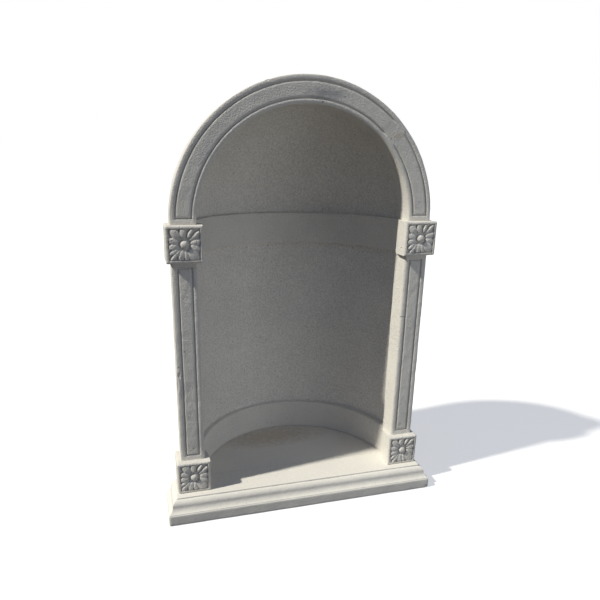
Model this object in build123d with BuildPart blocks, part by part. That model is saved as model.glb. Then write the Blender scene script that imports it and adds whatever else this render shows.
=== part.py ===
from build123d import *
from math import asin, cos, degrees, radians, sin, sqrt
import os

# A white cast-stone statue niche: a pilastered arch in front of a half-round apse,
# standing on a moulded plinth. Millimetres, +Z up, the front faces -Y.
# The origin is on the underside of the plinth, in the plane of the pilaster fronts.
os.makedirs("parts", exist_ok=True)

# Front frame: pilasters and semicircular arch
opening_radius = 219.0       # centre line to the inner edge of pilasters and arch
frame_width = 51.0           # face width of pilasters and arch
frame_depth = 46.0           # front to back
inner_arris = 5.0            # rubbed edge of pilasters and arch next to the opening
outer_arris = 2.0
springing_height = 570.0     # floor to the top of the impost blocks

# Square blocks at the foot and the head of each pilaster
block_height = 71.0
block_overhang = 10.0        # past the pilaster on either side
block_projection = 14.0      # in front of the pilaster
block_arris = 2.0
block_back_radius = 5.0
cheek_start = 4.0            # where the inner cheek begins to sweep back to the band

# Groove that outlines the panel on pilasters and arch
groove_width = 6.0
groove_depth = 3.2
groove_taper = 38.0          # slope of its sides, from upright
pilaster_groove_inset = 12.0
pilaster_groove_end = 13.0
arch_groove_inset = 10.5
arch_groove_end = 12.0
panel_corner = 2.0
seam_angle = 43.5            # cast seam on the right of the arch, from the springing
seam_half_gap = 2.6          # the groove is filled this many degrees either side of it
crown_half_angle = 15.5      # the arch's top segment, either side of the crown
half_turn = 180.0            # degrees that the arch and the apse turn through

# Sunk square with a rosette on each block
panel_rim = 5.0
panel_sink = 5.0
panel_wall_taper = 20.0
rosette_clearance = 2.2
rosette_bed = 1.4
boss_radius = 7.6
boss_height = 4.4
boss_rounding = 3.5
leaf_length = 25.0
leaf_width = 15.0
leaf_height = 3.0
leaf_start = 9.0
leaf_angle = 45.0            # the leaves lie on the diagonals
leaf_taper = 25.0
petal_length = 14.0
petal_width = 9.0
petal_height = 2.4
petal_start = 12.0
petal_spread = 18.0

# Plinth
slab_height = 25.0
moulding_height = 29.0
floor_front_margin = 28.0    # floor edge in front of the pilasters
floor_side_margin = 14.0     # floor edge outside the pilasters
moulding_run = 17.5
slab_ledge = 1.5
top_fillet = 3.5
top_step = 1.5
foot_fillet = 0.7
inflection_run = 9.5
inflection_drop = 15.0
slab_arris = 1.5

# Apse behind the frame
apse_centre_back = 7.5       # centre of the half round, behind the pilaster fronts
band_setback = 3.0           # face of the two bands, outside the edge of the opening
band_ledge = 12.0            # how far the bands stand out from the wall
shell_thickness = 28.0       # of the wall and of the half dome
band_arris = 2.0
drum_segments = 5
dome_lower_segments = 5
dome_upper_segments = 4
dome_lower_angle = 34.0      # top of the lower course, seen from the centre
dome_upper_angle = 64.0      # top of the upper course, seen from the centre

# Worked out from the sizes above
frame_radius = opening_radius + frame_width
floor_z = slab_height + moulding_height
springing_z = floor_z + springing_height
block_inner = opening_radius - block_overhang
block_outer = frame_radius + block_overhang
block_width = block_outer - block_inner
block_centre_x = opening_radius + frame_width / 2
impost_z = springing_z - block_height
pilaster_z = floor_z + block_height
pilaster_height = impost_z - pilaster_z
floor_half_width = frame_radius + floor_side_margin
slab_half_width = floor_half_width + moulding_run + slab_ledge
slab_front = -floor_front_margin - moulding_run - slab_ledge
panel_size = block_width - 2 * panel_rim
band_radius = opening_radius + band_setback
wall_radius = band_radius + band_ledge
shell_radius = wall_radius + shell_thickness
dome_lower_rise = wall_radius * sin(radians(dome_lower_angle))
dome_upper_rise = wall_radius * sin(radians(dome_upper_angle))
apse_axis = Axis((0, apse_centre_back, 0), (0, 0, 1))
apse_behind = frame_depth - apse_centre_back
band_at_frame = sqrt(band_radius**2 - apse_behind**2)
front = Plane.XZ
back_of_frame = Plane(origin=(0, frame_depth, 0), x_dir=(1, 0, 0), z_dir=(0, -1, 0))


def finish(piece, name):
    """Label a finished piece and write it out under the same name."""
    piece.label = name
    export_step(piece, f"parts/{name}.step")


def mirrored(piece):
    """The same piece on the left-hand side of the niche."""
    with BuildPart() as other:
        mirror(piece, about=Plane.YZ)
    return other.part


# Plinth: the slab that meets the ground and the floor on it, both with the half round behind
def d_plan(half_width, front_y):
    """Plan of the rectangle under the frame and of the apse behind it."""
    with BuildSketch() as plan:
        with Locations((0, apse_centre_back)):
            Circle(shell_radius)
        with Locations((0, frame_depth)):
            Rectangle(2 * shell_radius, 2 * shell_radius, mode=Mode.INTERSECT,
                      align=(Align.CENTER, Align.MIN))
        with Locations((0, front_y)):
            Rectangle(2 * half_width, frame_depth - front_y, align=(Align.CENTER, Align.MIN))
    return plan.sketch


with BuildPart() as plinth_slab:
    with BuildSketch():
        add(d_plan(slab_half_width, slab_front))
    extrude(amount=slab_height)
    fillet(plinth_slab.edges().filter_by(Axis.Z).group_by(Axis.Y)[0], slab_arris)
    fillet(plinth_slab.faces().sort_by(Axis.Y)[0].edges().filter_by(Axis.X), slab_arris)
finish(plinth_slab.part, "plinth_slab")

with BuildPart() as floor_slab:
    with BuildSketch(Plane.XY.offset(slab_height)):
        add(d_plan(floor_half_width, -floor_front_margin))
    extrude(amount=moulding_height)
finish(floor_slab.part, "floor_slab")


# Ogee moulding round the front and the sides of the floor, mitred at the corners
with BuildSketch() as ogee:
    foot = (moulding_run, foot_fillet)
    middle = (inflection_run, moulding_height - inflection_drop)
    head = (top_step, moulding_height - top_fillet)
    with BuildLine():
        Polyline((0, moulding_height - top_fillet), (0, 0), (moulding_run, 0), foot)
        TangentArc(middle, foot, tangent=(0, -1))
        TangentArc(middle, head, tangent=(0, 1))
        Line(head, (0, moulding_height - top_fillet))
    make_face()

left_mitre = Plane(origin=(-floor_half_width, -floor_front_margin, 0), x_dir=(1, 1, 0),
                   z_dir=(1, -1, 0))
right_mitre = Plane(origin=(floor_half_width, -floor_front_margin, 0), x_dir=(1, -1, 0),
                    z_dir=(-1, -1, 0))

with BuildPart() as plinth_moulding_front:
    with BuildSketch(Plane(origin=(-slab_half_width, -floor_front_margin, slab_height),
                           x_dir=(0, -1, 0), z_dir=(-1, 0, 0))):
        add(ogee.sketch)
    extrude(amount=-2 * slab_half_width)
    split(bisect_by=left_mitre, keep=Keep.TOP)
    split(bisect_by=right_mitre, keep=Keep.TOP)
finish(plinth_moulding_front.part, "plinth_moulding_front")

with BuildPart() as plinth_moulding_left:
    with BuildSketch(Plane(origin=(-floor_half_width, frame_depth, slab_height),
                           x_dir=(-1, 0, 0), z_dir=(0, 1, 0))):
        add(ogee.sketch)
    extrude(amount=slab_front - frame_depth)
    split(bisect_by=left_mitre, keep=Keep.BOTTOM)
finish(plinth_moulding_left.part, "plinth_moulding_left")
finish(mirrored(plinth_moulding_left.part), "plinth_moulding_right")


# Blocks at the foot and the head of the pilasters, each with a sunk square on its face
def block(base_z):
    """The right-hand block; its inner cheek sweeps back to meet the band."""
    with BuildPart() as solid:
        with BuildSketch(Plane.XY.offset(base_z)) as plan:
            with BuildLine():
                Polyline((block_inner, cheek_start), (block_inner, -block_projection),
                         (block_outer, -block_projection), (block_outer, frame_depth),
                         (band_at_frame, frame_depth))
                TangentArc((block_inner, cheek_start), (band_at_frame, frame_depth),
                           tangent=(0, 1))
            make_face()
            fillet(plan.vertices().sort_by_distance((block_outer, frame_depth))[0],
                   block_back_radius)
        extrude(amount=block_height)
        fillet(solid.faces().sort_by(Axis.Y)[0].edges(), block_arris)
        with BuildSketch(front.offset(block_projection)):
            with Locations((block_centre_x, base_z + block_height / 2)):
                Rectangle(panel_size, panel_size)
        extrude(amount=-panel_sink, taper=panel_wall_taper, mode=Mode.SUBTRACT)
    return solid.part


for level, base_z in (("base", floor_z), ("impost", impost_z)):
    right_block = block(base_z)
    finish(right_block, f"{level}_block_right")
    finish(mirrored(right_block), f"{level}_block_left")


# Rosettes: a domed boss, four leaves to the corners and pairs of petals between them
def leaf_outline(start, length, width):
    """A pointed oval that starts away from the centre and runs along x."""
    with BuildSketch() as outline:
        with BuildLine():
            ThreePointArc((start, 0), (start + length / 2, width / 2), (start + length, 0))
            ThreePointArc((start + length, 0), (start + length / 2, -width / 2), (start, 0))
        make_face()
    return outline.sketch


def rosette(base_z):
    """The right-hand rosette, carved on a thin bed that fills the sunk square."""
    bed = front.offset(block_projection - panel_sink)
    centre = (block_centre_x, base_z + block_height / 2)
    bed_size = panel_size - 2 * rosette_clearance
    with BuildPart() as carving:
        with BuildSketch(bed):
            with Locations(centre):
                Rectangle(bed_size, bed_size)
        extrude(amount=rosette_bed)
        with BuildSketch(bed.offset(rosette_bed)):
            with Locations(centre):
                with PolarLocations(0, 4, start_angle=leaf_angle):
                    add(leaf_outline(leaf_start, leaf_length, leaf_width))
        extrude(amount=leaf_height, taper=leaf_taper)
        for side in (-1, 1):
            with BuildSketch(bed.offset(rosette_bed)):
                with Locations(centre):
                    with PolarLocations(0, 4, start_angle=side * petal_spread):
                        add(leaf_outline(petal_start, petal_length, petal_width))
            extrude(amount=petal_height, taper=leaf_taper)
        with BuildSketch(bed.offset(rosette_bed)):
            with Locations(centre):
                Circle(boss_radius)
        extrude(amount=boss_height)
        rim = carving.edges().filter_by(GeomType.CIRCLE).sort_by(Axis.Y)[0]
        fillet(rim, boss_rounding)
    return carving.part


for level, base_z in (("base", floor_z), ("impost", impost_z)):
    right_rosette = rosette(base_z)
    finish(right_rosette, f"{level}_rosette_right")
    finish(mirrored(right_rosette), f"{level}_rosette_left")


# Pilasters: plain shafts with a grooved panel on the face
def frame_section():
    """Section of pilaster and arch, from the edge of the opening outwards and to the back."""
    with BuildSketch() as section:
        with Locations((opening_radius, 0)):
            Rectangle(frame_width, frame_depth, align=Align.MIN)
        inner, outer = section.vertices().group_by(Axis.Y)[0].sort_by(Axis.X)
        fillet(inner, inner_arris)
        fillet(outer, outer_arris)
    return section.sketch


with BuildPart() as pilaster_right:
    with BuildSketch(Plane.XY.offset(pilaster_z)):
        add(frame_section())
    extrude(amount=pilaster_height)
    with BuildSketch(front):
        with Locations((block_centre_x, pilaster_z + pilaster_height / 2)):
            RectangleRounded(frame_width - 2 * pilaster_groove_inset + groove_width,
                             pilaster_height - 2 * pilaster_groove_end + groove_width,
                             panel_corner + groove_width)
            RectangleRounded(frame_width - 2 * pilaster_groove_inset - groove_width,
                             pilaster_height - 2 * pilaster_groove_end - groove_width,
                             panel_corner, mode=Mode.SUBTRACT)
    extrude(amount=-groove_depth, taper=groove_taper, mode=Mode.SUBTRACT)
finish(pilaster_right.part, "pilaster_right")
finish(mirrored(pilaster_right.part), "pilaster_left")


# Arch: a semicircular ring in five segments; its groove is filled at the cast seam
def arch_panel(grow):
    """Outline of the arch's panel, grown or shrunk about the middle of the groove."""
    with BuildSketch() as outline:
        with Locations((0, springing_z)):
            Circle(frame_radius - arch_groove_inset + grow)
            Circle(opening_radius + arch_groove_inset - grow, mode=Mode.SUBTRACT)
        with Locations((0, springing_z + arch_groove_end - grow)):
            Rectangle(2 * frame_radius, frame_radius, mode=Mode.INTERSECT,
                      align=(Align.CENTER, Align.MIN))
    return outline.sketch


def arch_sweep(section, first, last):
    """Turn a section about the arch's centre between two angles from the right springing."""
    turn = radians(first)
    with BuildPart() as ring:
        with BuildSketch(Plane(origin=(0, 0, springing_z), x_dir=(cos(turn), 0, sin(turn)),
                               z_dir=(-sin(turn), 0, cos(turn)))):
            add(section)
        revolve(axis=Axis((0, 0, springing_z), (0, -1, 0)), revolution_arc=last - first)
    return ring.part


with BuildPart() as arch_groove:
    with BuildSketch(front):
        add(arch_panel(groove_width / 2))
        add(arch_panel(-groove_width / 2), mode=Mode.SUBTRACT)
    extrude(amount=-groove_depth, taper=groove_taper)
    add(arch_sweep(frame_section(), seam_angle - seam_half_gap, seam_angle + seam_half_gap),
        mode=Mode.SUBTRACT)

arch_joints = (0, seam_angle, half_turn / 2 - crown_half_angle, half_turn / 2 + crown_half_angle,
               half_turn - seam_angle, half_turn)
arch_names = ("arch_right_haunch", "arch_right_shoulder", "arch_crown",
              "arch_left_shoulder", "arch_left_haunch")
for name, first, last in zip(arch_names, arch_joints, arch_joints[1:]):
    with BuildPart() as segment:
        add(arch_sweep(frame_section(), first, last))
        add(arch_groove.part, mode=Mode.SUBTRACT)
    finish(segment.part, name)


# Apse: skirting band, wall and string band of the half-round drum, in upright segments
def around(angle):
    """Upright plane through the apse's axis; its x axis points out at this angle."""
    turn = radians(angle)
    return Plane(origin=(0, apse_centre_back, 0), x_dir=(cos(turn), sin(turn), 0),
                 z_dir=(sin(turn), -cos(turn), 0))


def joint_angles(segments):
    """Angles of the joints of a course that starts and ends at the frame's back."""
    start = degrees(asin(apse_behind / shell_radius))
    step = (half_turn - 2 * start) / segments
    inner = [start + step * i for i in range(1, segments)]
    return [0, *inner, half_turn]


def band(bottom, height):
    """Section of a smooth band with its two inner edges eased."""
    with BuildSketch() as section:
        with Locations((band_radius, bottom)):
            Rectangle(shell_radius - band_radius, height, align=Align.MIN)
        fillet(section.vertices().group_by(Axis.X)[0], band_arris)
    return section.sketch


def wall(bottom, height):
    """Section of the plain wall."""
    with BuildSketch() as section:
        with Locations((wall_radius, bottom)):
            Rectangle(shell_radius - wall_radius, height, align=Align.MIN)
    return section.sketch


def dome(bottom, top):
    """Section of one level course of the half dome, from the springing up."""
    with BuildSketch() as section:
        with Locations((0, springing_z)):
            Circle(shell_radius)
            Circle(wall_radius, mode=Mode.SUBTRACT)
        with Locations((0, springing_z + bottom)):
            Rectangle(shell_radius, top - bottom, align=Align.MIN, mode=Mode.INTERSECT)
    return section.sketch


def course(name, section, segments):
    """Turn a section about the apse's axis and cut it off at the back of the frame."""
    joints = joint_angles(segments)
    for number, (first, last) in enumerate(zip(joints, joints[1:]), start=1):
        with BuildPart() as segment:
            with BuildSketch(around(first)):
                add(section)
            revolve(axis=apse_axis, revolution_arc=last - first)
            split(bisect_by=back_of_frame, keep=Keep.BOTTOM)
        finish(segment.part, f"{name}_{number}" if segments > 1 else name)


course("skirting_band", band(floor_z, block_height), drum_segments)
course("drum_wall", wall(pilaster_z, pilaster_height), drum_segments)
course("string_band", band(impost_z, block_height), drum_segments)
course("half_dome_lower", dome(0, dome_lower_rise), dome_lower_segments)
course("half_dome_upper", dome(dome_lower_rise, dome_upper_rise), dome_upper_segments)
course("half_dome_crown", dome(dome_upper_rise, shell_radius), 1)
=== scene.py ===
from math import asin, cos, hypot, pi, radians, sin, sqrt

import bmesh
import bpy
from mathutils import Matrix, Vector


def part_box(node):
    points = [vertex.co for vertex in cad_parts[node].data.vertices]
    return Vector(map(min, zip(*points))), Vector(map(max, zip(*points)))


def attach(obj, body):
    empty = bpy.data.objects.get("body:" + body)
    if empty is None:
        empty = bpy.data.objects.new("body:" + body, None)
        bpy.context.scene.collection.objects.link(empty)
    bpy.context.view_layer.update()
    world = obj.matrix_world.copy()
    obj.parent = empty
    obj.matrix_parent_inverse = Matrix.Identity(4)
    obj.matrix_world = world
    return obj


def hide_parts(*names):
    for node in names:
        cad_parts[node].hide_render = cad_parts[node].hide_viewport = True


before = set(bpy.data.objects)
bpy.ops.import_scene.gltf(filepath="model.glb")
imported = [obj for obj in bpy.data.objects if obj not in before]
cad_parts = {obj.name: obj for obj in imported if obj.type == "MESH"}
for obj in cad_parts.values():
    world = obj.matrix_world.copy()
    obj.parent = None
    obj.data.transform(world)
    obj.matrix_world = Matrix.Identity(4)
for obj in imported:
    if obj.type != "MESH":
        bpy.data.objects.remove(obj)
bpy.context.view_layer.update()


# The slab is the lowest casting. It is smooth off-white cast stone with soft, rubbed arrises,
# cut off square behind the pilasters and half round under the apse.
NEAR = 0.0001  # a point this near to a plane lies on it
WELD = 0.00002  # points this near to each other are one
SHARP_ANGLE = radians(35)  # a steeper edge than this stays sharp in the shading


def select_only(piece):
    """Make one piece the only selected and active one."""
    bpy.ops.object.select_all(action="DESELECT")
    piece.select_set(True)
    bpy.context.view_layer.objects.active = piece


def pick(kind, rule):
    """Select the faces, edges or points that a rule picks out, on the piece in edit mode."""
    bpy.ops.mesh.select_all(action="DESELECT")
    bpy.ops.mesh.select_mode(type=kind)
    mesh = bmesh.from_edit_mesh(bpy.context.object.data)
    for item in {"FACE": mesh.faces, "EDGE": mesh.edges, "VERT": mesh.verts}[kind]:
        item.select_set(rule(item))
    mesh.select_flush_mode()
    bmesh.update_edit_mesh(bpy.context.object.data)


def runs_along(edge, axis, least=0.0):
    """True of an edge that lies along an axis and is longer than least."""
    span = edge.verts[1].co - edge.verts[0].co
    return span.length > least and abs(span[axis]) > 0.999 * span.length


def is_front(face):
    """True of a face that looks straight forwards."""
    return face.normal.y < -0.99


def begin(name):
    """Name the primitive that was just added, set its size and open it in edit mode."""
    piece = bpy.context.object
    piece.name = name
    bpy.ops.object.transform_apply(location=True, rotation=True, scale=True)
    bpy.ops.object.mode_set(mode="EDIT")
    return piece


def close(piece):
    """Merge doubles, turn every face outwards and leave edit mode."""
    bpy.ops.mesh.select_all(action="SELECT")
    bpy.ops.mesh.remove_doubles(threshold=WELD)
    bpy.ops.mesh.normals_make_consistent(inside=False)
    bpy.ops.object.mode_set(mode="OBJECT")


def slice_across(axis, low, high, spacing):
    """Cut the piece in edit mode across one axis, at an even spacing."""
    count = max(1, round((high - low) / spacing))
    for number in range(1, count):
        point, normal = Vector(), Vector()
        point[axis] = low + (high - low) * number / count
        normal[axis] = 1
        bpy.ops.mesh.select_all(action="SELECT")
        bpy.ops.mesh.bisect(plane_co=point, plane_no=normal)


def make_finer(piece):
    """Cut the faces smaller and keep the shape, ready for weathering."""
    select_only(piece)
    finer = piece.modifiers.new("finer", "SUBSURF")
    finer.subdivision_type = "SIMPLE"
    finer.levels = 1
    finer.render_levels = 1
    bpy.ops.object.modifier_apply(modifier=finer.name)


def weather(piece, reliefs):
    """Push the surface in and out by cloudy noise: the grain and height of each relief."""
    select_only(piece)
    for size, height in reliefs:
        noise = bpy.data.textures.new(f"{piece.name}_clouds", "CLOUDS")
        noise.noise_scale = size
        relief = piece.modifiers.new("relief", "DISPLACE")
        relief.texture = noise
        relief.texture_coords = "LOCAL"
        relief.strength = height
        relief.mid_level = 0.5
        bpy.ops.object.modifier_apply(modifier=relief.name)
    bpy.ops.object.shade_smooth_by_angle(angle=SHARP_ANGLE)


def cast_stone(name, colour, grains, pits, painted_hollow_shade, smudges=()):
    """Matt stone with a mottled tint, air pits, grains of a scale and height with painted shade in
    their hollows, and smudges.
    """
    stone = bpy.data.materials.new(name)
    stone.use_nodes = True
    nodes, links = stone.node_tree.nodes, stone.node_tree.links
    shader = nodes["Principled BSDF"]
    shader.inputs["Roughness"].default_value = 0.88
    shader.inputs["Specular IOR Level"].default_value = 0.3
    place = nodes.new("ShaderNodeTexCoord").outputs["Object"]

    def noise(scale, detail):
        """An even scatter of noise through the stone."""
        node = nodes.new("ShaderNodeTexNoise")
        node.inputs["Scale"].default_value = scale
        node.inputs["Detail"].default_value = detail
        links.new(place, node.inputs["Vector"])
        return node.outputs["Fac"]

    def ramp(source, low, high, start, end):
        """Turn a value into a colour that runs from start at low to end at high."""
        node = nodes.new("ShaderNodeValToRGB")
        node.color_ramp.elements[0].position = low
        node.color_ramp.elements[1].position = high
        node.color_ramp.elements[0].color = (*start, 1)
        node.color_ramp.elements[1].color = (*end, 1)
        links.new(source, node.inputs["Fac"])
        return node.outputs["Color"]

    def multiply_over(first, second):
        """One colour multiplied over another: tints, stains and the painted shade in grain hollows.
        """
        node = nodes.new("ShaderNodeMix")
        node.data_type = "RGBA"
        node.blend_type = "MULTIPLY"
        node.inputs["Factor"].default_value = 1.0
        links.new(first, node.inputs["A"])
        links.new(second, node.inputs["B"])
        return node.outputs["Result"]

    clean, pit_shade, sand_shade = (1, 1, 1), (0.55, 0.5, 0.46), (0.93, 0.925, 0.915)
    mottle = ramp(noise(9, 5), 0.32, 0.68, [c * 0.93 for c in colour], colour)
    speckle = ramp(noise(420, 3), 0.3, 0.62, sand_shade, clean)
    pit = ramp(noise(240, 1), pits, pits + 0.02, clean, pit_shade)
    tint = multiply_over(multiply_over(mottle, speckle), pit)
    for middle, half, shade in smudges:
        spot = nodes.new("ShaderNodeMapping")
        spot.vector_type = "TEXTURE"
        spot.inputs["Location"].default_value = middle
        spot.inputs["Scale"].default_value = half
        links.new(place, spot.inputs["Vector"])
        ball = nodes.new("ShaderNodeTexGradient")
        ball.gradient_type = "SPHERICAL"
        links.new(spot.outputs["Vector"], ball.inputs["Vector"])
        patchy = nodes.new("ShaderNodeMath")
        patchy.operation = "MULTIPLY"
        links.new(ball.outputs["Fac"], patchy.inputs[0])
        links.new(noise(90, 4), patchy.inputs[1])
        tint = multiply_over(tint, ramp(patchy.outputs["Value"], 0.08, 0.38, clean, shade))

    bumps = None
    for scale, height in grains:
        grain = noise(scale, 3)
        # Painted shade: the colour darkens in the hollows of each grain, where side light would
        # leave shade.
        tint = multiply_over(tint, ramp(grain, 0.38, 0.6, (painted_hollow_shade, painted_hollow_shade, painted_hollow_shade), clean))
        bump = nodes.new("ShaderNodeBump")
        bump.inputs["Strength"].default_value = 1.0
        bump.inputs["Distance"].default_value = height
        links.new(grain, bump.inputs["Height"])
        if bumps:
            links.new(bumps, bump.inputs["Normal"])
        bumps = bump.outputs["Normal"]
    links.new(bumps, shader.inputs["Normal"])
    links.new(tint, shader.inputs["Base Color"])
    return stone


# A grain is a scale and a height. A smudge is a middle, a half size and a tint.
OFF_WHITE = (0.80, 0.765, 0.70)
DUST_ON_FLOOR = ((-0.03, 0.185, 0.054), (0.20, 0.07, 0.05), (0.80, 0.75, 0.69))
# Its grain hollows get a faint painted shade.
plinth_stone = cast_stone("plinth_stone", OFF_WHITE, ((130, 0.0005), (420, 0.0003)), pits=0.76,
                          painted_hollow_shade=0.985, smudges=(DUST_ON_FLOOR,))


BROKEN_FACE = (0.004, 0.0008)  # grain and height of the roughness inside a chip


def chip(piece, *marks):
    """Knock chips and air holes out of a piece: the middle and half size of each, in mm."""
    bpy.ops.object.select_all(action="DESELECT")
    stones = []
    for middle, half in marks:
        bpy.ops.mesh.primitive_ico_sphere_add(
            subdivisions=3, radius=1, location=Vector(middle) / 1000, scale=Vector(half) / 1000)
        stones.append(bpy.context.object)
    for stone in stones:
        stone.select_set(True)
    if len(stones) > 1:
        bpy.ops.object.join()
    tool = bpy.context.object
    bpy.ops.object.transform_apply(location=True, rotation=True, scale=True)
    weather(tool, [BROKEN_FACE])
    select_only(piece)
    knock = piece.modifiers.new("knock", "BOOLEAN")
    knock.operation = "DIFFERENCE"
    knock.solver = "EXACT"
    knock.object = tool
    bpy.ops.object.modifier_apply(modifier=knock.name)
    bpy.data.objects.remove(tool)
    bpy.ops.object.shade_smooth_by_angle(angle=SHARP_ANGLE)


def finish(piece, stone, slot, *nodes):
    """Give the piece its stone, hang it under the root body and hide the CAD nodes it stands for.
    """
    piece.data.materials.clear()
    piece.data.materials.append(stone)
    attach(piece, "root")
    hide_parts(*nodes)


SLAB_ARRIS = 0.003
SLAB_CUTS = 0.008
SLAB_CHIP = ((296.5, -47.5, 5.5), (6, 4.5, 4.5))
frame_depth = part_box("pilaster_right")[1].y
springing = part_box("impost_block_right")[1].z
shell_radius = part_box("half_dome_crown")[1].z - springing
apse_axis = Vector((0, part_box("drum_wall_3")[1].y - shell_radius, 0))


def half_round_slab(name, node, arris):
    """A slab with the half round of the apse behind a wider oblong front."""
    low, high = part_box(node)
    bpy.ops.object.select_all(action="DESELECT")
    bpy.ops.mesh.primitive_cylinder_add(vertices=180, radius=shell_radius, depth=high.z - low.z,
                                        location=(0, apse_axis.y, (low.z + high.z) / 2))
    piece = begin(name)
    bpy.ops.mesh.select_all(action="SELECT")
    bpy.ops.mesh.bisect(plane_co=(0, frame_depth, 0), plane_no=(0, 1, 0), clear_inner=True,
                        use_fill=True)
    cut_half_width = sqrt(shell_radius**2 - (frame_depth - apse_axis.y) ** 2)
    pick("FACE", is_front)
    bpy.ops.mesh.extrude_region_move()
    bpy.ops.transform.resize(value=(high.x / cut_half_width, 1, 1), center_override=(0, 0, 0))
    bpy.ops.mesh.extrude_region_move(
        TRANSFORM_OT_translate={"value": (0, low.y - frame_depth, 0)})
    pick("EDGE", lambda e: all(v.co.y < low.y + NEAR for v in e.verts)
         or (all(abs(v.co.x) > high.x - NEAR for v in e.verts) and not runs_along(e, 2)))
    bpy.ops.mesh.bevel(offset=arris, segments=3, affect="EDGES")
    for axis in range(3):
        slice_across(axis, low[axis], high[axis], SLAB_CUTS)
    close(piece)
    return piece


slab = half_round_slab("plinth_slab_cast", "plinth_slab", SLAB_ARRIS)
make_finer(slab)
weather(slab, [(0.06, 0.0012), (0.012, 0.0005)])
chip(slab, SLAB_CHIP)
finish(slab, plinth_stone, "plinth_stone", "plinth_slab")


# The floor of the niche is a thinner slab of the same plan, trowelled smooth. Its front arris
# is kept crisp, and it stands a little above the moulding.
CRISP_ARRIS = 0.0012
niche_floor = half_round_slab("floor_cast", "floor_slab", CRISP_ARRIS)
make_finer(niche_floor)
weather(niche_floor, [(0.05, 0.0008), (0.01, 0.0003)])
finish(niche_floor, plinth_stone, "plinth_stone", "floor_slab")


# The moulding under the floor edge is an ogee, hollow below and round above, run round the
# front and both sides with mitred corners and cut off flush with the back of the frame.
FOOT_HEIGHT = 0.0007
HEAD_SET_BACK = 0.0015
BEND_SET_BACK = 0.0095
BEND_BELOW_FLOOR = 0.015
ARC_STEPS = 7
MOULDING_CUTS = 0.006


def ogee_moulding():
    """A low block stepped in along the ogee, then hollowed where the floor stands."""
    low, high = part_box("plinth_moulding_front")
    floor_low, floor_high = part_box("floor_slab")
    run = floor_low.y - low.y
    head = Vector((HEAD_SET_BACK, high.z - low.z))
    bend = Vector((BEND_SET_BACK, floor_high.z - floor_low.z - BEND_BELOW_FLOOR))
    back = frame_depth + 0.05
    bpy.ops.object.select_all(action="DESELECT")
    bpy.ops.mesh.primitive_cube_add(
        size=1, location=(0, (low.y + back) / 2, low.z + FOOT_HEIGHT / 2),
        scale=(high.x - low.x, back - low.y, FOOT_HEIGHT))
    piece = begin("moulding_cast")

    def bow(end, share):
        """A point on the arc that leaves the bend upright and reaches the end."""
        across, along = end.x - bend.x, end.y - bend.y
        radius = (across**2 + along**2) / (2 * abs(across))
        turn = share * asin(abs(along) / radius)
        return bend + Vector((radius * (1 - cos(turn)) * (1 if across > 0 else -1),
                              radius * sin(turn) * (1 if along > 0 else -1)))

    foot = Vector((run, FOOT_HEIGHT))
    outline = [bow(foot, 1 - i / ARC_STEPS) for i in range(1, ARC_STEPS + 1)]
    outline += [bow(head, i / ARC_STEPS) for i in range(1, ARC_STEPS + 1)]
    outline.append(Vector((0, head.y)))
    pick("FACE", lambda face: face.normal.z > 0.99)
    last = foot
    for point in outline:
        bpy.ops.mesh.inset(thickness=last.x - point.x, depth=point.y - last.y)
        last = point
    bpy.ops.mesh.extrude_region_move(TRANSFORM_OT_translate={"value": (0, 0, -head.y)})
    pick("FACE", lambda face: abs(face.normal.z) > 0.99
         and face.calc_center_median().z < low.z + NEAR)
    bpy.ops.mesh.delete(type="FACE")
    pick("EDGE", lambda e: e.is_boundary)
    bpy.ops.mesh.bridge_edge_loops()
    bpy.ops.mesh.select_all(action="SELECT")
    bpy.ops.mesh.bisect(plane_co=(0, frame_depth, 0), plane_no=(0, 1, 0), clear_outer=True,
                        use_fill=True)
    slice_across(0, low.x, high.x, MOULDING_CUTS)
    slice_across(1, low.y, frame_depth, MOULDING_CUTS)
    close(piece)
    return piece


moulding = ogee_moulding()
make_finer(moulding)
weather(moulding, [(0.06, 0.0012), (0.012, 0.0004)])
finish(moulding, plinth_stone, "plinth_stone", "plinth_moulding_front", "plinth_moulding_left",
       "plinth_moulding_right")


# Square blocks stand under and over each pilaster. Each is cast in one with the frame: its
# inner cheek sweeps back to the band, and its face has a narrow rim round a sunk square. The
# smooth stone of the blocks, frame and bands has a blue-grey patch and a brown stain on the arch.
# A darker blue-grey patch near the crown of the arch, and a brown stain at the seam.
BLUE_GREY_PATCH = ((0.030, 0, 0.862), (0.062, 0.05, 0.016), (0.64, 0.655, 0.69))
SEAM_STAIN = ((0.183, 0, 0.791), (0.026, 0.05, 0.010), (0.90, 0.85, 0.79))
# Its grain hollows get a light painted shade.
smooth_stone = cast_stone("smooth_cast_stone", OFF_WHITE, ((280, 0.0012), (560, 0.0006)),
                          pits=0.745, painted_hollow_shade=0.95, smudges=(BLUE_GREY_PATCH, SEAM_STAIN))
PANEL_RIM = 0.005
PANEL_SLOPE = 0.0018
PANEL_SINK = 0.0042
CHEEK_START = 0.004
CHEEK_STEPS = 6
BLOCK_ARRIS = 0.0034
BLOCK_CUTS = 0.006
RIGHT_IMPOST_CHIPS = (((268.5, -14.5, 572.8), (4, 3, 6)), ((209, 0.3, 568.1), (2.2, 2.2, 2.2)),
                      ((252, -14, 542), (5, 2, 2)))
band_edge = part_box("pilaster_right")[0].x


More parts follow.
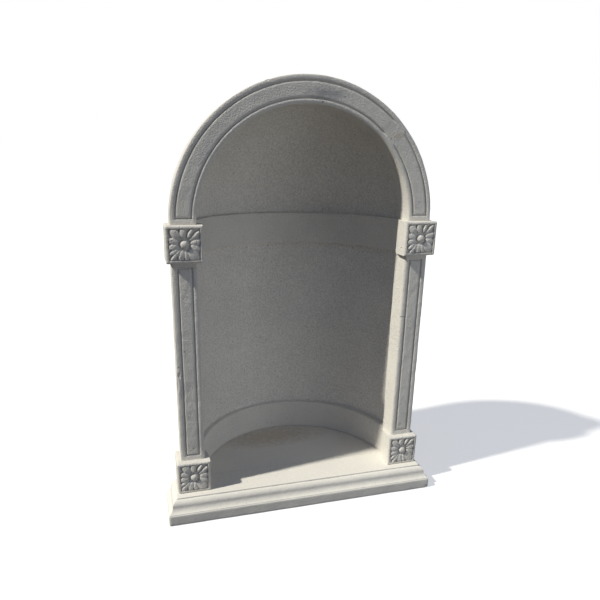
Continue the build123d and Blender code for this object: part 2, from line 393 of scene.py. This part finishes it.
def square_block(node):
    """A block shaped from a cube; the cheek towards the opening is swept back."""
    low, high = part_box(node)
    side = 1 if low.x > 0 else -1
    bpy.ops.object.select_all(action="DESELECT")
    bpy.ops.mesh.primitive_cube_add(size=1, location=(low + high) / 2, scale=high - low)
    piece = begin(f"{node}_cast")
    for number in range(CHEEK_STEPS):
        cut = CHEEK_START + (high.y - CHEEK_START) * number / CHEEK_STEPS
        bpy.ops.mesh.select_all(action="SELECT")
        bpy.ops.mesh.bisect(plane_co=(0, cut, 0), plane_no=(0, 1, 0))
    inner = low.x if side > 0 else high.x
    outer = max(abs(low.x), abs(high.x))
    sweep = abs(band_edge) - abs(inner)
    length = high.y - CHEEK_START
    radius = (length**2 + sweep**2) / (2 * sweep)
    mesh = bmesh.from_edit_mesh(piece.data)
    for point in mesh.verts:
        if abs(point.co.x - inner) < NEAR and point.co.y > CHEEK_START:
            back = point.co.y - CHEEK_START
            point.co.x += side * (radius - sqrt(radius**2 - back**2))
    bmesh.update_edit_mesh(piece.data)
    pick("FACE", is_front)
    bpy.ops.mesh.inset(thickness=PANEL_RIM)
    bpy.ops.mesh.inset(thickness=PANEL_SLOPE, depth=-PANEL_SINK)

    def top_or_bottom(point):
        """True of a point on the top or the bottom of the block."""
        return point.co.z < low.z + NEAR or point.co.z > high.z - NEAR

    def on_rim(point):
        """True of a point on the outline of the face."""
        return point.co.y < low.y + NEAR and (
            abs(point.co.x - low.x) < NEAR or abs(point.co.x - high.x) < NEAR
            or top_or_bottom(point))

    def on_outer_corner(point):
        """True of a point on the arrises that run back along the outer side."""
        return abs(abs(point.co.x) - outer) < NEAR and top_or_bottom(point)

    pick("EDGE", lambda e: all(on_rim(v) for v in e.verts)
         or runs_along(e, 2, 0.05) and e.verts[0].co.y > high.y - NEAR
         or runs_along(e, 1) and all(on_outer_corner(v) for v in e.verts))
    bpy.ops.mesh.bevel(offset=BLOCK_ARRIS, segments=3, affect="EDGES")
    for axis in range(3):
        slice_across(axis, low[axis], high[axis], BLOCK_CUTS)
    close(piece)
    return piece


for node in ("base_block_left", "base_block_right", "impost_block_left", "impost_block_right"):
    block = square_block(node)
    make_finer(block)
    weather(block, [(0.03, 0.0014), (0.007, 0.0005)])
    if node == "impost_block_right":
        chip(block, *RIGHT_IMPOST_CHIPS)
    finish(block, smooth_stone, "smooth_cast_stone", node)


# A rosette is cast on the sunk square of each block: a domed boss with two long blades on one
# diagonal, broad leaves in the other corners and rounded petals between. The moulds were worn,
# so no two of the four came out quite alike.
BLADES_AND_PETALS = (  # angle in degrees, then distance from the boss, length and width in mm
    (11, 22.5, 22, 12.5), (39, 26.5, 29, 8.0), (62, 23.5, 21, 7.0), (96, 21.5, 20, 11.5),
    (130, 26.5, 22, 15.5), (162, 22.0, 21, 12.5), (191, 21.0, 19, 12.0), (213, 24.5, 21, 7.0),
    (229, 26.5, 30, 7.4), (253, 21.5, 22, 12.5), (278, 22.0, 20, 9.0), (309, 25.5, 26, 20.0),
    (342, 21.5, 20, 12.5))
PETAL_HEIGHT = 0.0112
WORN_CORNER = (290, 350)  # between these angles the petals stand lower
RUBBED_FROM = 0.0036  # what stands higher than this over the bed is rubbed down,
LEFT_BY_RUBBING = 0.2  # to this share of its height
BOSS_RADIUS = 0.0086
SUNK_IN_BED = 0.0008
ROSETTE_GRAIN = 0.00065


def carve_rosette(node, turned, boss_height, corner_wear):
    """Rounded lumps on the sunk face, melted into one skin and rubbed flat on top."""
    low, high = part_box(node)
    middle = (low + high) / 2
    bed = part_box(node.replace("rosette", "block"))[0].y + PANEL_SINK
    bpy.ops.object.select_all(action="DESELECT")
    lumps = []
    for angle, reach, length, width in BLADES_AND_PETALS:
        turn = radians(angle + turned)
        worn = corner_wear if WORN_CORNER[0] < angle < WORN_CORNER[1] else 0
        bpy.ops.mesh.primitive_uv_sphere_add(
            segments=32, ring_count=16, radius=1, rotation=(0, -turn, 0),
            location=(middle.x + reach * cos(turn) / 1000, bed,
                      middle.z + reach * sin(turn) / 1000),
            scale=(length / 2000, PETAL_HEIGHT - worn, width / 2000))
        lumps.append(bpy.context.object)
    for piece in lumps:
        piece.select_set(True)
    bpy.ops.object.join()
    piece = begin(f"{node}_cast")
    bpy.ops.object.mode_set(mode="OBJECT")
    melt = piece.modifiers.new("melt", "REMESH")
    melt.mode = "VOXEL"
    melt.voxel_size = ROSETTE_GRAIN
    bpy.ops.object.modifier_apply(modifier=melt.name)
    bpy.ops.object.mode_set(mode="EDIT")
    pick("VERT", lambda v: v.co.y < bed - RUBBED_FROM)
    bpy.ops.transform.resize(value=(1, LEFT_BY_RUBBING, 1),
                             center_override=(0, bed - RUBBED_FROM, 0))
    bpy.ops.mesh.primitive_uv_sphere_add(segments=48, ring_count=24, radius=1,
                                         scale=(BOSS_RADIUS, boss_height, BOSS_RADIUS),
                                         location=(middle.x, bed, middle.z))
    bpy.ops.mesh.select_all(action="SELECT")
    bpy.ops.mesh.bisect(plane_co=(0, bed + SUNK_IN_BED, 0), plane_no=(0, 1, 0), clear_outer=True,
                        use_fill=True)
    for axis, edge, facing in ((0, low.x, -1), (0, high.x, 1), (2, low.z, -1), (2, high.z, 1)):
        point, normal = Vector(), Vector()
        point[axis], normal[axis] = edge, facing
        bpy.ops.mesh.select_all(action="SELECT")
        bpy.ops.mesh.bisect(plane_co=point, plane_no=normal, clear_outer=True, use_fill=True)
    close(piece)
    rub = piece.modifiers.new("rub", "SMOOTH")
    rub.iterations = 2
    bpy.ops.object.modifier_apply(modifier=rub.name)
    return piece


for node, turned, boss_height, corner_wear in (
        ("base_rosette_left", -3, 0.0068, 0.0004), ("base_rosette_right", 4, 0.0070, 0.0018),
        ("impost_rosette_left", 0, 0.0071, 0.0010), ("impost_rosette_right", 6, 0.0070, 0.0022)):
    rosette = carve_rosette(node, turned, boss_height, corner_wear)
    weather(rosette, [(0.006, 0.0006)])
    finish(rosette, smooth_stone, "smooth_cast_stone", node)


# The pilasters are plain shafts. A groove pressed into the wet face outlines a flush panel,
# and the arris next to the opening is rubbed round. The left one's outer arris is knocked off
# half way up, and its foot is pitted.
GROOVE_SIDE = ((0.0009, 0.0003), (0.0006, 0.0008), (0.0008, 0.0022))  # steps in and down
GROOVE_FLOOR = 0.0016
GROOVE_HALF = sum(run for run, drop in GROOVE_SIDE) + GROOVE_FLOOR / 2
PILASTER_GROOVE = 0.012
ROUND_ARRIS = 0.005
SMALL_ARRIS = 0.002
PILASTER_CHIPS = {
    "pilaster_left": (
        ((-266.5, 0, 338.5), (2.2, 2.2, 2.0)), ((-266.0, -0.8, 323), (3.4, 2.0, 7.5)),
        ((-269.3, -1.6, 297), (3.4, 3.4, 21)), ((-252.5, 0, 372), (3, 2, 1.8)),
        ((-248.2, 0, 146.9), (2.5, 1.6, 1.8)), ((-243, 0, 152), (2, 1.4, 2.2)),
        ((-251, 0, 158), (1.6, 1.2, 2)), ((-246, 0, 139), (3, 1.2, 1.5))),
    "pilaster_right": (
        ((223.5, -0.2, 415.4), (6.8, 3.2, 2.2)), ((240, 0, 396), (1.6, 1.4, 1.2)))}


def press_groove(inset):
    """Press the groove into the selected face: in along the margin, down, and up again."""
    bpy.ops.mesh.inset(thickness=inset - GROOVE_HALF)
    for run, drop in GROOVE_SIDE:
        bpy.ops.mesh.inset(thickness=run, depth=-drop)
    bpy.ops.mesh.inset(thickness=GROOVE_FLOOR)
    for run, drop in reversed(GROOVE_SIDE):
        bpy.ops.mesh.inset(thickness=run, depth=drop)


def shaft(node):
    """A pilaster from a cube, cut evenly so that it can be weathered."""
    low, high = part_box(node)
    side = 1 if low.x > 0 else -1
    inner, outer = (low.x, high.x) if side > 0 else (high.x, low.x)
    bpy.ops.object.select_all(action="DESELECT")
    bpy.ops.mesh.primitive_cube_add(size=1, location=(low + high) / 2, scale=high - low)
    piece = begin(f"{node}_cast")
    pick("FACE", is_front)
    press_groove(PILASTER_GROOVE)
    pick("EDGE", lambda e: runs_along(e, 2, 0.3) and e.verts[0].co.y < NEAR
         and abs(e.verts[0].co.x - inner) < NEAR)
    bpy.ops.mesh.bevel(offset=ROUND_ARRIS, segments=4, affect="EDGES")
    pick("EDGE", lambda e: runs_along(e, 2, 0.3) and (
        e.verts[0].co.y > high.y - NEAR
        or e.verts[0].co.y < NEAR and abs(e.verts[0].co.x - outer) < NEAR))
    bpy.ops.mesh.bevel(offset=SMALL_ARRIS, segments=2, affect="EDGES")
    pick("EDGE", lambda e: runs_along(e, 2, 0.3))
    bpy.ops.mesh.subdivide(number_cuts=80)
    pick("EDGE", lambda e: runs_along(e, 0, 0.015))
    bpy.ops.mesh.subdivide(number_cuts=4)
    pick("EDGE", lambda e: runs_along(e, 1, 0.03))
    bpy.ops.mesh.subdivide(number_cuts=7)
    close(piece)
    return piece


for node in ("pilaster_left", "pilaster_right"):
    pilaster = shaft(node)
    make_finer(pilaster)
    weather(pilaster, [(0.05, 0.0014), (0.011, 0.0009)])
    chip(pilaster, *PILASTER_CHIPS[node])
    finish(pilaster, smooth_stone, "smooth_cast_stone", node)


# The arch ring springs from the impost blocks. It has the same pressed groove, and where two
# castings of the mould met, on the right, the groove was filled and rubbed down.
ARCH_GROOVE = 0.0105
ARCH_END_MARGIN = 0.012
SEAM_ANGLE = radians(43.5)  # above the springing
SEAM_HALF_WIDTH = radians(2.6)
# Nearer the seam the groove is shallower: degrees beyond its edge, and the share kept.
SEAM_FADE = ((4.6, 0.85), (3.4, 0.75), (2.3, 0.65), (1.2, 0.5), (0, 0.1))
END_STEP = radians(5)
ARCH_STEPS = 170
ARCH_CHIPS = (((-84.1, 0, 879.7), (5, 2.5, 2)), ((23.1, 0, 846.9), (3.2, 2.2, 1.8)),
              ((167.5, 0, 784.6), (1.7, 1.0, 1.3)), ((196.8, 0, 796.4), (1.4, 1.0, 1.6)),
              ((67.1, 0, 857.2), (1.8, 1.2, 1.4)))
opening_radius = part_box("pilaster_right")[0].x
frame_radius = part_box("pilaster_right")[1].x
spring_point = Vector((0, 0, springing))


def arch_radius(point):
    """How far a point lies from the axis of the arch."""
    return hypot(point.x, point.z - springing)


bpy.ops.object.select_all(action="DESELECT")
bpy.ops.mesh.primitive_plane_add(
    size=1, location=((opening_radius + frame_radius) / 2, frame_depth / 2, springing))
bpy.context.object.scale = (frame_radius - opening_radius, frame_depth, 1)
arch = begin("arch_cast")
bpy.ops.mesh.select_all(action="SELECT")
for steps, sweep in ((1, END_STEP), (ARCH_STEPS, pi - 2 * END_STEP), (1, END_STEP)):
    bpy.ops.mesh.spin(steps=steps, angle=sweep, center=spring_point, axis=(0, 1, 0))
bpy.ops.mesh.select_all(action="SELECT")
bpy.ops.mesh.remove_doubles(threshold=WELD)
bpy.ops.mesh.normals_make_consistent(inside=False)
bpy.ops.mesh.bisect(plane_co=(0, 0, springing + ARCH_END_MARGIN - ARCH_GROOVE),
                    plane_no=(0, 0, 1))
pick("FACE", lambda face: is_front(face) and face.calc_center_median().z > springing + 0.002)
press_groove(ARCH_GROOVE)
for spread, share in SEAM_FADE:
    pick("VERT", lambda v: NEAR < v.co.y < frame_depth / 2 and v.co.x > 0
         and abs(asin((v.co.z - springing) / arch_radius(v.co)) - SEAM_ANGLE)
         < SEAM_HALF_WIDTH + radians(spread))
    bpy.ops.transform.resize(value=(1, share, 1), center_override=(0, 0, 0))
pick("EDGE", lambda e: not runs_along(e, 1) and all(
    v.co.y < NEAR and arch_radius(v.co) < opening_radius + 0.0002 for v in e.verts))
bpy.ops.mesh.bevel(offset=ROUND_ARRIS, segments=4, affect="EDGES")
pick("EDGE", lambda e: not runs_along(e, 1) and all(
    (v.co.y < NEAR or v.co.y > frame_depth - NEAR) and arch_radius(v.co) > frame_radius - 0.0005
    for v in e.verts))
bpy.ops.mesh.bevel(offset=SMALL_ARRIS, segments=2, affect="EDGES")
pick("EDGE", lambda e: runs_along(e, 1, 0.03))
bpy.ops.mesh.subdivide(number_cuts=7)
pick("EDGE", lambda e: 0.02 < (e.verts[1].co - e.verts[0].co).length
     and abs(arch_radius(e.verts[0].co) - arch_radius(e.verts[1].co)) > 0.018)
bpy.ops.mesh.subdivide(number_cuts=4)
close(arch)
make_finer(arch)
weather(arch, [(0.05, 0.0012), (0.012, 0.0005)])
chip(arch, *ARCH_CHIPS)
finish(arch, smooth_stone, "smooth_cast_stone", "arch_left_haunch", "arch_left_shoulder",
       "arch_crown", "arch_right_shoulder", "arch_right_haunch")


# The apse is one half-round shell. A smooth skirting band and a smooth string band stand
# proud of the wall between them, flush with the sides of the opening.
TURN_STEP = radians(0.75)
BAND_ARRIS = 0.002
BAND_PROUD = 0.012
STRING_BAND_CHIP = ((-119.9, 194.3, 582.7), (2.4, 2.4, 2.0))


def half_turn(name, section_low, section_high, inner_cuts, outer_cuts, arris=0.0):
    """Spin an upright section about the apse's axis and cut it off behind the frame."""
    bpy.ops.object.select_all(action="DESELECT")
    bpy.ops.mesh.primitive_plane_add(
        size=1, rotation=(pi / 2, 0, 0),
        location=((section_low.x + section_high.x) / 2, apse_axis.y,
                  (section_low.y + section_high.y) / 2))
    bpy.context.object.scale = (section_high.x - section_low.x, section_high.y - section_low.y, 1)
    piece = begin(name)
    if arris:
        pick("VERT", lambda v: abs(v.co.x - section_low.x) < NEAR)
        bpy.ops.mesh.bevel(offset=arris, segments=3, affect="VERTICES")
    for face_x, cuts in ((section_low.x, inner_cuts), (section_high.x, outer_cuts)):
        pick("EDGE", lambda e: runs_along(e, 2, 0.02) and abs(e.verts[0].co.x - face_x) < NEAR)
        bpy.ops.mesh.subdivide(number_cuts=cuts)
    bpy.ops.mesh.select_all(action="SELECT")
    bpy.ops.mesh.spin(steps=round(pi / TURN_STEP), angle=pi, center=apse_axis, axis=(0, 0, -1))
    bpy.ops.mesh.select_all(action="SELECT")
    bpy.ops.mesh.remove_doubles(threshold=WELD)
    bpy.ops.mesh.bisect(plane_co=(0, frame_depth, 0), plane_no=(0, 1, 0), clear_inner=True,
                        use_fill=True)
    close(piece)
    return piece


band_radius = hypot(band_edge, frame_depth - apse_axis.y)
wall_radius = band_radius + BAND_PROUD
for name in ("skirting_band", "string_band"):
    low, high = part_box(f"{name}_1")
    band = half_turn(f"{name}_cast", Vector((band_radius, low.z)), Vector((shell_radius, high.z)),
                     inner_cuts=15, outer_cuts=2, arris=BAND_ARRIS)
    weather(band, [(0.06, 0.001)])
    if name == "string_band":
        chip(band, STRING_BAND_CHIP)
    finish(band, smooth_stone, "smooth_cast_stone", *[f"{name}_{i}" for i in range(1, 6)])


# The wall between the bands and the half dome above them keep the skin that the wet mix took
# from the mould: a fine orange peel with scattered air pits, and strong painted shade in its
# hollows.
PALE_SKIN = (0.90, 0.86, 0.79)
ORANGE_PEEL = ((0.08, 0.0015), (0.006, 0.0013))
DOME_PITS = (((133.4, 199.8, 631.4), (2.6, 2.6, 1.8)), ((-60, 226, 700), (1.8, 1.8, 1.8)))
orange_peel_stone = cast_stone("orange_peel_stone", PALE_SKIN, ((230, 0.0017), (420, 0.0008)),
                               pits=0.735, painted_hollow_shade=0.86)
low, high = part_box("drum_wall_1")
drum = half_turn("drum_wall_cast", Vector((wall_radius, low.z)), Vector((shell_radius, high.z)),
                 inner_cuts=150, outer_cuts=15)
weather(drum, ORANGE_PEEL)
finish(drum, orange_peel_stone, "orange_peel_stone", *[f"drum_wall_{i}" for i in range(1, 6)])


def arc_points(radius, points):
    """Leave a quarter of a circle in the piece in edit mode, from the springing to the crown."""
    bpy.ops.object.select_all(action="DESELECT")
    bpy.ops.mesh.primitive_circle_add(vertices=4 * points, radius=radius, fill_type="NOTHING",
                                      location=(0, apse_axis.y, springing), rotation=(pi / 2, 0, 0))
    arc = begin("dome_arc")
    pick("VERT", lambda v: v.co.x < -NEAR or v.co.z < springing - NEAR)
    bpy.ops.mesh.delete(type="VERT")
    bpy.ops.object.mode_set(mode="OBJECT")
    return arc


inner_arc = arc_points(wall_radius, 130)
outer_arc = arc_points(shell_radius, 30)
select_only(inner_arc)
outer_arc.select_set(True)
bpy.ops.object.join()
dome = bpy.context.object
dome.name = "half_dome_cast"
bpy.ops.object.mode_set(mode="EDIT")
for ends in (lambda v: v.co.x < NEAR, lambda v: v.co.z < springing + NEAR):
    pick("VERT", ends)
    bpy.ops.mesh.edge_face_add()
bpy.ops.mesh.select_all(action="SELECT")
bpy.ops.mesh.edge_face_add()
bpy.ops.mesh.select_all(action="SELECT")
bpy.ops.mesh.spin(steps=round(pi / TURN_STEP), angle=pi, center=apse_axis, axis=(0, 0, -1))
bpy.ops.mesh.select_all(action="SELECT")
bpy.ops.mesh.remove_doubles(threshold=WELD)
bpy.ops.mesh.bisect(plane_co=(0, frame_depth, 0), plane_no=(0, 1, 0), clear_inner=True,
                    use_fill=True)
close(dome)
weather(dome, ORANGE_PEEL)
chip(dome, *DOME_PITS)
finish(dome, orange_peel_stone, "orange_peel_stone", "half_dome_crown",
       *[f"half_dome_lower_{i}" for i in range(1, 6)],
       *[f"half_dome_upper_{i}" for i in range(1, 5)])


# The studio has a pale floor, a slightly warm lamp high on the left, a weak cool one at the
# right front, and a cool even sky. Faces turned to the first lamp show the stone's own colour.
bpy.ops.object.select_all(action="DESELECT")
bpy.ops.mesh.primitive_plane_add(size=40)
floor = bpy.context.object
floor.name = "studio_floor"
paper = bpy.data.materials.new("pale_paper")
paper.use_nodes = True
paper_nodes, paper_links = paper.node_tree.nodes, paper.node_tree.links
paper_nodes["Principled BSDF"].inputs["Roughness"].default_value = 0.9
paper_nodes["Principled BSDF"].inputs["Base Color"].default_value = (0.055, 0.05, 0.046, 1)
paper_ray = paper_nodes.new("ShaderNodeLightPath")
bright = paper_nodes.new("ShaderNodeBsdfDiffuse")
bright.inputs["Color"].default_value = (0.6, 0.6, 0.6, 1)
glow = paper_nodes.new("ShaderNodeEmission")
glow.inputs["Strength"].default_value = 0.5
seen = paper_nodes.new("ShaderNodeAddShader")
paper_mix = paper_nodes.new("ShaderNodeMixShader")
paper_links.new(bright.outputs["BSDF"], seen.inputs[0])
paper_links.new(glow.outputs["Emission"], seen.inputs[1])
paper_links.new(paper_ray.outputs["Is Camera Ray"], paper_mix.inputs["Fac"])
paper_links.new(paper_nodes["Principled BSDF"].outputs["BSDF"], paper_mix.inputs[1])
paper_links.new(seen.outputs["Shader"], paper_mix.inputs[2])
paper_links.new(paper_mix.outputs["Shader"], paper_nodes["Material Output"].inputs["Surface"])
floor.data.materials.append(paper)

LAMP_TURN = radians(8.0)
LAMP_HEIGHT = radians(45.0)
LAMP_TINT = (1.0, 0.98, 0.89)
lamp = bpy.data.lights.new("key_lamp", "SUN")
lamp.energy = 4.0
lamp.angle = radians(2.5)
lamp.color = LAMP_TINT
lamp_object = bpy.data.objects.new("key_lamp", lamp)
bpy.context.scene.collection.objects.link(lamp_object)
falling = Vector((cos(LAMP_TURN) * cos(LAMP_HEIGHT), sin(LAMP_TURN) * cos(LAMP_HEIGHT),
                  -sin(LAMP_HEIGHT)))
lamp_object.rotation_euler = falling.to_track_quat("-Z", "Y").to_euler()

FILL_PLACE = Vector((1.0, -1.1, 0.4))
FILL_AIM = Vector((0, 0, 0.5))
FILL_TINT = (0.91, 0.96, 1.0)
fill = bpy.data.lights.new("fill_lamp", "AREA")
fill.energy = 3.9
fill.size = 0.8
fill.color = FILL_TINT
fill_object = bpy.data.objects.new("fill_lamp", fill)
bpy.context.scene.collection.objects.link(fill_object)
fill_object.location = FILL_PLACE
fill_object.rotation_euler = (FILL_AIM - FILL_PLACE).to_track_quat("-Z", "Y").to_euler()

world = bpy.data.worlds.new("studio_sky")
world.use_nodes = True
sky_nodes, sky_links = world.node_tree.nodes, world.node_tree.links
sky = sky_nodes["Background"]
sky.inputs["Color"].default_value = (0.56, 0.69, 1.0, 1)
sky.inputs["Strength"].default_value = 0.235
backdrop = sky_nodes.new("ShaderNodeBackground")
backdrop.inputs["Color"].default_value = (1, 1, 1, 1)
choice = sky_nodes.new("ShaderNodeMixShader")
ray = sky_nodes.new("ShaderNodeLightPath")
sky_links.new(ray.outputs["Is Camera Ray"], choice.inputs["Fac"])
sky_links.new(sky.outputs["Background"], choice.inputs[1])
sky_links.new(backdrop.outputs["Background"], choice.inputs[2])
sky_links.new(choice.outputs["Shader"], sky_nodes["World Output"].inputs["Surface"])
bpy.context.scene.world = world
bpy.context.scene.view_settings.view_transform = "Standard"

# The camera stands where the photograph was taken from: left of the middle, at the height of
# the arch, looking down a little. The photograph's middle is not on the lens axis.
PHOTO_SIDE = 600
FOCAL_PIXELS = 524.7
AXIS_PIXEL = (279.6, 324.9)
CAMERA_PLACE = (-0.320, -1.0073, 0.7343)
CAMERA_TURN = 0.2567
CAMERA_DIP = 0.29677
CAMERA_LEAN = 0.01096
camera = bpy.data.cameras.new("photo_camera")
camera.sensor_width = 36
camera.lens = FOCAL_PIXELS / PHOTO_SIDE * camera.sensor_width
camera.shift_x = (PHOTO_SIDE / 2 - AXIS_PIXEL[0]) / PHOTO_SIDE
camera.shift_y = (AXIS_PIXEL[1] - PHOTO_SIDE / 2) / PHOTO_SIDE
camera_object = bpy.data.objects.new("photo_camera", camera)
bpy.context.scene.collection.objects.link(camera_object)
camera_object.matrix_world = (Matrix.Translation(CAMERA_PLACE)
                              @ Matrix.Rotation(-CAMERA_TURN, 4, "Z")
                              @ Matrix.Rotation(pi / 2 - CAMERA_DIP, 4, "X")
                              @ Matrix.Rotation(CAMERA_LEAN, 4, "Z"))
bpy.context.scene.camera = camera_object
